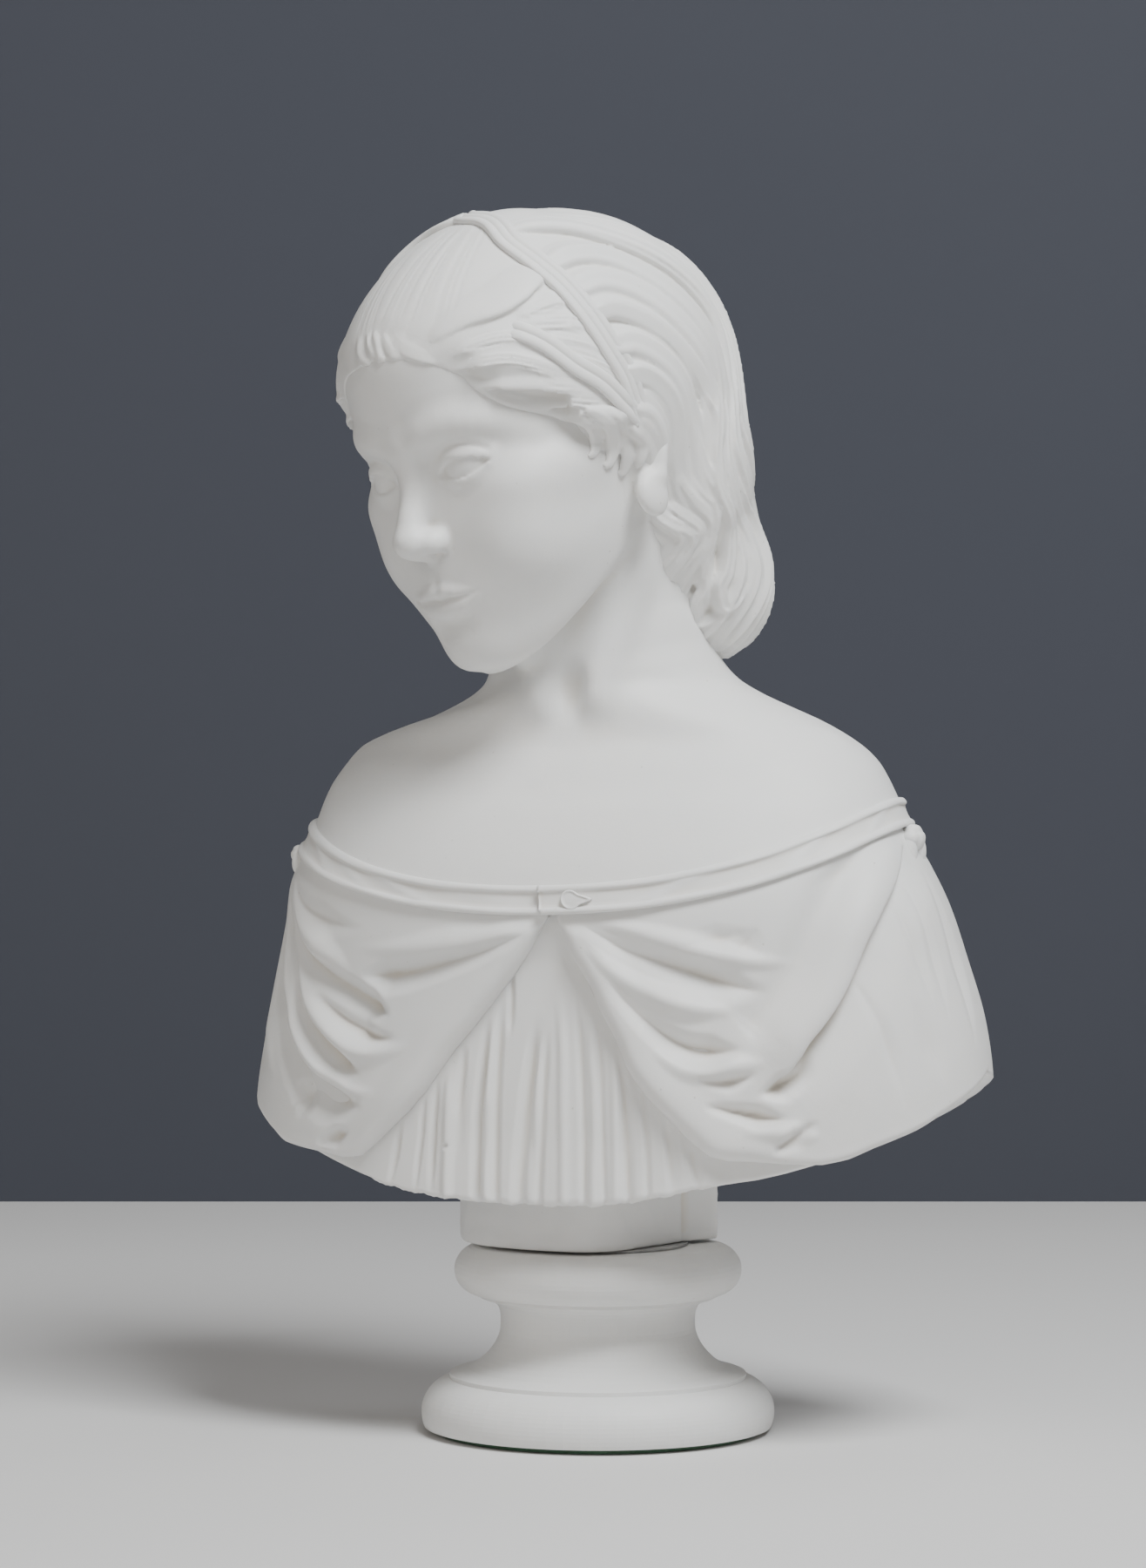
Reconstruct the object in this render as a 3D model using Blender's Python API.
"""Marble portrait bust on a turned socle, with the steel rod that holds the two stones together.

Units are metres, +Z up, and the bust's chest faces -Y. The origin is the centre of the felt that it stands on.
The bust is one carved block: head, hair, shoulders, dress and the squared block under it. The socle is a second
stone. A threaded rod grouted into the bust passes down through the socle to a washer and nut in its underside,
a brass pin stops the bust from turning, and a lead sheet beds one stone on the other.
"""

import math

import bmesh
import bpy
from mathutils import Matrix, Vector

# ---- Driving dimensions -------------------------------------------------------------------------------------
GAP = 0.0003                   # clearance between two pieces that touch
FELT_THICKNESS = 0.002
FELT_RADIUS = 0.078

SOCLE_FLOOR = FELT_THICKNESS + GAP
SOCLE_TOP = 0.0880
BASE_TORUS = (0.0677, 0.0087, 0.0167)     # centre radius, centre height, bead radius
BASE_FILLET = (0.0708, 0.0248, 0.0270)    # radius, bottom, top
NECK_RADIUS = 0.0465                      # the narrowest part of the socle
NECK_BOTTOM, NECK_TOP = 0.0495, 0.0530
CAP_FILLET = (0.0565, 0.0635, 0.0655)     # radius, bottom, top
CAP_TORUS = (0.0572, 0.0765, 0.0115)      # centre radius, centre height, bead radius

LEAD_THICKNESS = 0.0010
LEAD_RADIUS = 0.043
BLOCK_BOTTOM = SOCLE_TOP + GAP + LEAD_THICKNESS + GAP
BLOCK_TOP = 0.135                         # inside the bust
# The block's plan, hand-cut and a little to her right: a bowed front, flat flanks, and its back corners cut off.
BLOCK_PLAN = ((-0.0740, 0.0140), (-0.0600, -0.0220), (-0.0440, -0.0370), (-0.0200, -0.0470), (0.0040, -0.0500),
              (0.0280, -0.0440), (0.0420, 0.0050), (0.0530, 0.0260), (0.0340, 0.0500), (-0.0500, 0.0500))

ROD_RADIUS = 0.006
ROD_BOTTOM, ROD_TOP = 0.0070, 0.1500
BORE_RADIUS = 0.0070                      # the socle's clearance hole
RECESS_RADIUS, RECESS_TOP = 0.0220, 0.0240
WASHER_RADIUS, WASHER_THICKNESS = 0.0180, 0.0030
NUT_ACROSS_FLATS, NUT_HEIGHT = 0.0190, 0.0100
GROUT_RADIUS = 0.0100                     # the hole in the bust, filled round the rod
PIN_RADIUS, PIN_OFFSET = 0.0030, 0.0300
PIN_DEPTH = 0.0150                        # in each stone

RIM_LOW, RIM_CURVE, RIM_POWER = 0.1140, 4.2, 2.6    # the lower edge rises by this power of the distance
RIM_CENTRE, RIM_TILT = 0.0060, 0.010      # where it is lowest, and its slope towards her left
BAND_LOW, BAND_RISE = 0.2480, 0.0350      # lower edge of the neckband at the front, and its rise to the side
BAND_HEIGHT, BAND_STEP = 0.0130, 0.0022
SHOULDER_TILT = 0.035                     # her left shoulder is the higher one
COLUMNS = 96                              # round the body
HEAD_CENTRE = Vector((-0.0231, -0.0365, 0.4765))
HEAD_TURN, HEAD_NOD, HEAD_LEAN = math.radians(-28.0), math.radians(21.0), math.radians(-5.0)
HEAD_SCALE = 0.96

# Level sections of the body: height, half-width, front depth, back depth, and the centre's y and x.
BODY_SECTIONS = (
    (0.0950, 0.1720, 0.0980, 0.0850, 0.010, 0.008), (0.1300, 0.1795, 0.1000, 0.0880, 0.010, 0.008),
    (0.1600, 0.1812, 0.1010, 0.0900, 0.010, 0.008), (0.1900, 0.1770, 0.1000, 0.0900, 0.010, 0.008),
    (0.2200, 0.1695, 0.0980, 0.0890, 0.009, 0.007), (0.2450, 0.1630, 0.0940, 0.0870, 0.006, 0.006),
    (0.2650, 0.1570, 0.0880, 0.0850, 0.004, 0.003), (0.2800, 0.1495, 0.0810, 0.0820, 0.003, 0.002),
    (0.2950, 0.1430, 0.0740, 0.0780, 0.004, 0.002), (0.3050, 0.1390, 0.0690, 0.0750, 0.006, 0.001),
    (0.3150, 0.1335, 0.0650, 0.0720, 0.008, 0.000), (0.3250, 0.1235, 0.0600, 0.0680, 0.009, -0.001),
    (0.3350, 0.1060, 0.0560, 0.0630, 0.010, 0.001), (0.3430, 0.0870, 0.0520, 0.0580, 0.010, 0.004),
    (0.3500, 0.0720, 0.0500, 0.0550, 0.010, 0.005), (0.3580, 0.0600, 0.0470, 0.0510, 0.009, 0.005),
    (0.3720, 0.0510, 0.0445, 0.0470, 0.006, 0.003), (0.3900, 0.0465, 0.0425, 0.0435, 0.000, 0.001),
    (0.4200, 0.0445, 0.0430, 0.0420, -0.012, -0.006), (0.4450, 0.0400, 0.0400, 0.0400, -0.021, -0.012),
)

# Sections of the head in its own frame, face towards -Y: height, half-width, front, back.
HEAD_SECTIONS = (
    (-0.1000, 0.0140, -0.0800, -0.0500), (-0.0960, 0.0230, -0.0870, -0.0400),
    (-0.0870, 0.0330, -0.0905, -0.0200), (-0.0700, 0.0440, -0.0900, 0.0050),
    (-0.0500, 0.0540, -0.0890, 0.0300), (-0.0300, 0.0610, -0.0895, 0.0550),
    (0.0000, 0.0680, -0.0870, 0.0780), (0.0250, 0.0720, -0.0905, 0.0880),
    (0.0500, 0.0730, -0.0850, 0.0900), (0.0700, 0.0680, -0.0730, 0.0820),
    (0.0850, 0.0560, -0.0520, 0.0640), (0.0950, 0.0390, -0.0300, 0.0430), (0.1000, 0.0150, -0.0050, 0.0150),
)

# Hair as round masses in the head's frame: centre and radii.
HAIR_MASSES = {
    "hair_cap": ((0.0, 0.0050, 0.0180), (0.0840, 0.1040, 0.0890)),
    "hair_crown": ((0.0, 0.0400, 0.0140), (0.0800, 0.0800, 0.0800)),
    "hair_back": ((0.0, 0.0480, -0.0300), (0.0800, 0.0640, 0.0860)),
    "hair_fall": ((0.0, 0.0560, -0.0900), (0.0640, 0.0420, 0.0480)),
}


# ---- Helpers ------------------------------------------------------------------------------------------------
def material(name, colour, roughness, metallic=0.0):
    made = bpy.data.materials.new(name)
    made.use_nodes = True
    shader = made.node_tree.nodes["Principled BSDF"]
    shader.inputs["Base Color"].default_value = (*colour, 1.0)
    shader.inputs["Roughness"].default_value = roughness
    shader.inputs["Metallic"].default_value = metallic
    return made


def mesh_object(name, points, faces, finish=None):
    """A named mesh object with its faces pointing outwards. With no finish it is a hidden helper."""
    mesh = bpy.data.meshes.new(name)
    mesh.from_pydata([tuple(p) for p in points], [], faces)
    shape = bmesh.new()
    shape.from_mesh(mesh)
    bmesh.ops.remove_doubles(shape, verts=shape.verts, dist=1e-6)
    bmesh.ops.recalc_face_normals(shape, faces=shape.faces)
    shape.to_mesh(mesh)
    shape.free()
    made = bpy.data.objects.new(name, mesh)
    bpy.context.collection.objects.link(made)
    if finish is None:
        made.hide_render = True
        made.display_type = "WIRE"
    else:
        mesh.materials.append(finish)
        mesh.shade_smooth()
        mesh.set_sharp_from_angle(angle=math.radians(35.0))
    return made


def loft(name, rings, finish=None):
    """A closed solid through rings of equally many points, capped at both ends."""
    count = len(rings[0])
    points = [p for ring in rings for p in ring]
    faces = [
        (k * count + i, k * count + (i + 1) % count, (k + 1) * count + (i + 1) % count, (k + 1) * count + i)
        for k in range(len(rings) - 1)
        for i in range(count)
    ]
    faces.append(tuple(range(count)))
    faces.append(tuple((len(rings) - 1) * count + i for i in range(count)))
    return mesh_object(name, points, faces, finish)


def turned(name, profile, sides, finish=None):
    """A solid turned about Z from (radius, height) points that start and end on the axis."""
    bottom, top = profile[0][1], profile[-1][1]
    inner = profile[1:-1]
    angles = [2.0 * math.pi * i / sides for i in range(sides)]
    points = [Vector((r * math.cos(a), r * math.sin(a), z)) for r, z in inner for a in angles]
    faces = [
        (k * sides + i, k * sides + (i + 1) % sides, (k + 1) * sides + (i + 1) % sides, (k + 1) * sides + i)
        for k in range(len(inner) - 1)
        for i in range(sides)
    ]
    low, high = len(points), len(points) + 1
    points += [Vector((0.0, 0.0, bottom)), Vector((0.0, 0.0, top))]
    last = (len(inner) - 1) * sides
    faces += [(low, (i + 1) % sides, i) for i in range(sides)]
    faces += [(high, last + i, last + (i + 1) % sides) for i in range(sides)]
    return mesh_object(name, points, faces, finish)


def rod(name, radius, bottom, top, finish=None, sides=32, centre=(0.0, 0.0), turn=0.0):
    """An upright round or, with few sides, polygonal bar."""
    ring = [2.0 * math.pi * i / sides + turn for i in range(sides)]
    rings = [
        [Vector((centre[0] + radius * math.cos(a), centre[1] + radius * math.sin(a), z)) for a in ring]
        for z in (bottom, top)
    ]
    return loft(name, rings, finish)


def boolean(target, other, operation):
    step = target.modifiers.new(f"{operation.lower()}_{other.name}", "BOOLEAN")
    step.operation = operation
    step.solver = "EXACT"
    step.object = other


def between(table, value):
    """The row of a table at a first-column value, on a smooth curve through its rows."""
    value = min(max(value, table[0][0]), table[-1][0])
    k = max(i for i in range(len(table) - 1) if table[i][0] <= value)
    p1, p2 = table[k], table[k + 1]
    p0, p3 = table[max(k - 1, 0)], table[min(k + 2, len(table) - 1)]
    span = p2[0] - p1[0]
    t = (value - p1[0]) / span
    row = []
    for j in range(1, len(p1)):
        in_slope = (p2[j] - p0[j]) / (p2[0] - p0[0]) * span
        out_slope = (p3[j] - p1[j]) / (p3[0] - p1[0]) * span
        row.append(
            (2 * t**3 - 3 * t**2 + 1) * p1[j] + (t**3 - 2 * t**2 + t) * in_slope
            + (3 * t**2 - 2 * t**3) * p2[j] + (t**3 - t**2) * out_slope
        )
    return row


def signed_power(value, power):
    return math.copysign(abs(value) ** power, value)


# ---- The bust's surface -------------------------------------------------------------------------------------
def body_point(angle, height, offset=0.0):
    """A point of the body at an angle from the front, positive towards her left, and a height."""
    half_width, front, back, centre_y, centre_x = between(BODY_SECTIONS, height)
    depth = front if math.cos(angle) > 0.0 else back
    x = centre_x + (half_width + offset) * signed_power(math.sin(angle), 0.92)
    y = centre_y - (depth + offset) * signed_power(math.cos(angle), 0.92)
    level = min(max((0.375 - height) / 0.05, 0.0), 1.0)
    return Vector((x, y, height + SHOULDER_TILT * x * level))


def band_height(angle):
    """Height of the neckband's lower edge: a dip at the chest, level across the back."""
    rise = math.sin(angle) ** 2 if math.cos(angle) > 0.0 else 1.0 + 0.12 * math.cos(angle) ** 2
    return BAND_LOW + BAND_RISE * rise


def swag(angle, share):
    """How far a swag stands out: full in the cloth that hangs between the chest and each shoulder."""
    turn = abs(math.degrees(angle))
    edge = 6.0 + 52.0 * share
    inner = min(max((turn - edge) / 8.0, 0.0), 1.0)
    outer = min(max((100.0 - 38.0 * share - turn) / 12.0, 0.0), 1.0)
    return 0.0075 * inner * outer * math.sin(math.pi * min(share + 0.12, 1.0)) ** 0.5


def body_rings():
    """Rings from below the dress's edge to the top of the neck, each following the dress's own lines."""
    angles = [2.0 * math.pi * i / COLUMNS - math.pi for i in range(COLUMNS)]
    lowest = 0.0960
    rings = []
    for step in range(15):
        share = 1.0 - step / 14.0
        rings.append([
            body_point(a, lowest + (band_height(a) - lowest) * (1.0 - share), swag(a, share))
            for a in angles
        ])
    for lift, offset in ((0.0004, BAND_STEP), (BAND_HEIGHT, BAND_STEP), (BAND_HEIGHT + 0.0004, 0.0)):
        rings.append([body_point(a, band_height(a) + lift, offset) for a in angles])
    neck_foot = 0.3490
    for step in range(1, 10):
        share = step / 9.0
        rings.append([
            body_point(a, (band_height(a) + BAND_HEIGHT) * (1.0 - share) + neck_foot * share) for a in angles
        ])
    for height in (0.3580, 0.3720, 0.3900, 0.4200, 0.4450):
        rings.append([body_point(a, height) for a in angles])
    return rings


def underside_cutter():
    """The prism under the dress's curved lower edge, which is highest at the sides."""
    half, steps, low = 0.22, 28, 0.0500
    xs = [half * (2.0 * i / steps - 1.0) for i in range(steps + 1)]
    outline = [(x, RIM_LOW + RIM_CURVE * abs(x - RIM_CENTRE) ** RIM_POWER + RIM_TILT * x) for x in xs]
    outline += [(half, low), (-half, low)]
    rings = [[Vector((x, y, z)) for x, z in outline] for y in (-0.15, 0.15)]
    return loft("underside_cutter", rings)


def to_world(point):
    """From the head's own frame to the bust's."""
    turn = (Matrix.Rotation(HEAD_TURN, 4, "Z") @ Matrix.Rotation(HEAD_NOD, 4, "X")
            @ Matrix.Rotation(HEAD_LEAN, 4, "Y"))
    return HEAD_CENTRE + turn @ (HEAD_SCALE * Vector(point))


def head():
    sides = 40
    rings = []
    for height, half_width, front, back in HEAD_SECTIONS:
        middle, half_depth = (front + back) / 2.0, (back - front) / 2.0
        angles = [2.0 * math.pi * i / sides for i in range(sides)]
        rings.append([
            to_world((half_width * math.sin(a), middle - half_depth * math.cos(a), height)) for a in angles
        ])
    return loft("head", rings)


def nose():
    """A wedge from between the brows to the tip, on the face's centre line."""
    sections = ((0.0180, 0.0050, -0.0915), (-0.0150, 0.0065, -0.1010), (-0.0300, 0.0120, -0.1080),
                (-0.0380, 0.0130, -0.1040))
    rings = [
        [to_world(p) for p in ((-w, -0.0780, z), (-w * 0.5, y + 0.0040, z), (0.0, y, z),
                               (w * 0.5, y + 0.0040, z), (w, -0.0780, z))]
        for z, w, y in sections
    ]
    return loft("nose", rings)


def hair_mass(name, centre, radii):
    rings = []
    sides, levels = 32, 14
    for k in range(1, levels):
        lift = math.pi * k / levels - math.pi / 2.0
        angles = [2.0 * math.pi * i / sides for i in range(sides)]
        rings.append([
            to_world((
                centre[0] + radii[0] * math.cos(lift) * math.cos(a),
                centre[1] + radii[1] * math.cos(lift) * math.sin(a),
                centre[2] + radii[2] * math.sin(lift),
            ))
            for a in angles
        ])
    return loft(name, rings)


def face_clearance():
    """The space in front of the hairline, which the hair's round masses may not fill."""
    rings = [
        [to_world((x, y, z)) for x, y, z in ((-0.12, -0.16, z), (0.12, -0.16, z), (0.12, back, z), (-0.12, back, z))]
        for z, back in ((-0.160, 0.004), (0.010, -0.008), (0.060, -0.072))
    ]
    return loft("face_clearance", rings)


def block():
    """The stone left under the bust, which stands on the socle."""
    return loft("block", [[Vector((x, y, z)) for x, y in BLOCK_PLAN] for z in (BLOCK_BOTTOM, BLOCK_TOP)])


def button():
    """The neckband's button, a low disc lying on the chest."""
    centre = body_point(math.radians(4.0), BAND_LOW + BAND_HEIGHT * 0.5, BAND_STEP)
    rings = []
    for step, radius in ((-0.0030, 0.0042), (0.0010, 0.0042), (0.0018, 0.0034)):
        rings.append([
            centre + Vector((radius * math.cos(a), -step, radius * math.sin(a)))
            for a in (2.0 * math.pi * i / 20 for i in range(20))
        ])
    return loft("button", rings)


def knot(name, side):
    """The knot that gathers a swag on the shoulder."""
    centre = body_point(math.radians(88.0 * side), BAND_LOW + BAND_RISE - 0.006, 0.003)
    sides, levels, radius = 16, 8, 0.0085
    rings = [
        [
            centre + radius * Vector((math.cos(lift) * math.cos(a) * 0.8, math.cos(lift) * math.sin(a),
                                      math.sin(lift) * 1.2))
            for a in (2.0 * math.pi * i / sides for i in range(sides))
        ]
        for lift in (math.pi * k / levels - math.pi / 2.0 for k in range(1, levels))
    ]
    return loft(name, rings)


def bust(finish):
    made = loft("bust", body_rings(), finish)
    boolean(made, underside_cutter(), "DIFFERENCE")
    clearance = face_clearance()
    for name, (centre, radii) in HAIR_MASSES.items():
        mass = hair_mass(name, centre, radii)
        boolean(mass, clearance, "DIFFERENCE")
        boolean(made, mass, "UNION")
    for piece in (head(), nose(), block(), button(), knot("knot_right", -1.0), knot("knot_left", 1.0)):
        boolean(made, piece, "UNION")
    grout_hole = rod("grout_hole", GROUT_RADIUS, BLOCK_BOTTOM - 0.01, ROD_TOP + 0.004, sides=32)
    pin_hole = rod("bust_pin_hole", PIN_RADIUS + GAP, BLOCK_BOTTOM - 0.01, BLOCK_BOTTOM + PIN_DEPTH, sides=20,
                   centre=(PIN_OFFSET, 0.0))
    boolean(made, grout_hole, "DIFFERENCE")
    boolean(made, pin_hole, "DIFFERENCE")
    return made


# ---- The socle and the fixings ------------------------------------------------------------------------------
def arc(centre, radius, start, end, steps):
    """Points on a circle in the profile's plane, from one angle to another in degrees."""
    angles = (math.radians(start + (end - start) * i / steps) for i in range(steps + 1))
    return [(centre[0] + radius * math.cos(a), centre[1] + radius * math.sin(a)) for a in angles]


def hollow(narrow, wide, steps, power=1.7):
    """A scotia's quarter from its narrowest point to its flared end, both (radius, height)."""
    across, along = wide[0] - narrow[0], wide[1] - narrow[1]
    points = []
    for i in range(steps + 1):
        t = i / steps
        points.append((wide[0] - across * (1.0 - t**power) ** (1.0 / power), narrow[1] + along * t))
    return points


def socle_profile():
    """(radius, height) from the underside's centre, up the outer side, to the top's centre."""
    base, cap = BASE_TORUS[:2], CAP_TORUS[:2]
    base_start = -math.degrees(math.asin((base[1] - SOCLE_FLOOR) / BASE_TORUS[2]))
    base_end = math.degrees(math.asin((BASE_FILLET[1] - base[1]) / BASE_TORUS[2]))
    cap_start = -math.degrees(math.asin((cap[1] - CAP_FILLET[2]) / CAP_TORUS[2])) - 0.01
    profile = [(0.0, SOCLE_FLOOR)]
    profile += arc(base, BASE_TORUS[2], base_start, base_end, 14)
    profile += [(BASE_FILLET[0], BASE_FILLET[1] + 0.0002), (BASE_FILLET[0], BASE_FILLET[2])]
    flare = hollow((NECK_RADIUS, NECK_BOTTOM), (BASE_FILLET[0] - 0.0008, BASE_FILLET[2] + 0.0003), 10)
    profile += flare[::-1]
    profile += hollow((NECK_RADIUS, NECK_TOP), (0.0510, 0.0618), 5, 2.0)
    profile += [(CAP_FILLET[0], CAP_FILLET[1]), (CAP_FILLET[0], CAP_FILLET[2] - 0.0002)]
    profile += arc(cap, CAP_TORUS[2], cap_start, 89.0, 14)
    profile.append((0.0, SOCLE_TOP))
    return profile


def socle(finish):
    made = turned("socle", socle_profile(), 64, finish)
    bore = rod("socle_bore", BORE_RADIUS, SOCLE_FLOOR - 0.01, SOCLE_TOP + 0.01)
    recess = rod("socle_recess", RECESS_RADIUS, SOCLE_FLOOR - 0.01, RECESS_TOP, sides=40)
    pin_hole = rod("socle_pin_hole", PIN_RADIUS + GAP, SOCLE_TOP - PIN_DEPTH, SOCLE_TOP + 0.01, sides=20,
                   centre=(PIN_OFFSET, 0.0))
    for cutter in (bore, recess, pin_hole):
        boolean(made, cutter, "DIFFERENCE")
    return made


def fixings(steel, brass, lead, grout, felt):
    rod("threaded_rod", ROD_RADIUS, ROD_BOTTOM, ROD_TOP, steel)
    sleeve = rod("rod_grout", GROUT_RADIUS - GAP, BLOCK_BOTTOM + GAP, ROD_TOP - 0.002, grout)
    boolean(sleeve, rod("grout_bore", ROD_RADIUS + GAP, 0.05, 0.2), "DIFFERENCE")

    washer_top = RECESS_TOP - GAP
    washer = rod("washer", WASHER_RADIUS, washer_top - WASHER_THICKNESS, washer_top, steel, sides=40)
    boolean(washer, rod("washer_bore", ROD_RADIUS + GAP, 0.0, 0.05), "DIFFERENCE")
    nut_top = washer_top - WASHER_THICKNESS - GAP
    nut = rod("nut", NUT_ACROSS_FLATS / 2.0 / math.cos(math.pi / 6.0), nut_top - NUT_HEIGHT, nut_top, steel, sides=6)
    boolean(nut, rod("nut_bore", ROD_RADIUS + GAP, 0.0, 0.05), "DIFFERENCE")

    sheet_bottom = SOCLE_TOP + GAP
    sheet = rod("lead_sheet", LEAD_RADIUS, sheet_bottom, sheet_bottom + LEAD_THICKNESS, lead, sides=48)
    boolean(sheet, rod("lead_bore", BORE_RADIUS, 0.05, 0.12), "DIFFERENCE")
    boolean(sheet, rod("lead_pin_hole", PIN_RADIUS + GAP, 0.05, 0.12, sides=20, centre=(PIN_OFFSET, 0.0)),
            "DIFFERENCE")
    rod("locating_pin", PIN_RADIUS, SOCLE_TOP - PIN_DEPTH + 0.001, BLOCK_BOTTOM + PIN_DEPTH - 0.001, brass,
        sides=20, centre=(PIN_OFFSET, 0.0))
    rod("felt_pad", FELT_RADIUS, 0.0, FELT_THICKNESS, felt, sides=64)


def main():
    for old in list(bpy.data.objects):
        bpy.data.objects.remove(old)
    marble = material("white_marble", (0.80, 0.79, 0.77), 0.55)
    bust(marble)
    socle(marble)
    fixings(
        steel=material("zinc_plated_steel", (0.62, 0.62, 0.60), 0.35, 1.0),
        brass=material("brass", (0.72, 0.53, 0.24), 0.30, 1.0),
        lead=material("lead", (0.24, 0.25, 0.27), 0.60, 1.0),
        grout=material("stone_grout", (0.62, 0.60, 0.56), 0.90),
        felt=material("green_felt", (0.05, 0.13, 0.07), 0.95),
    )


main()
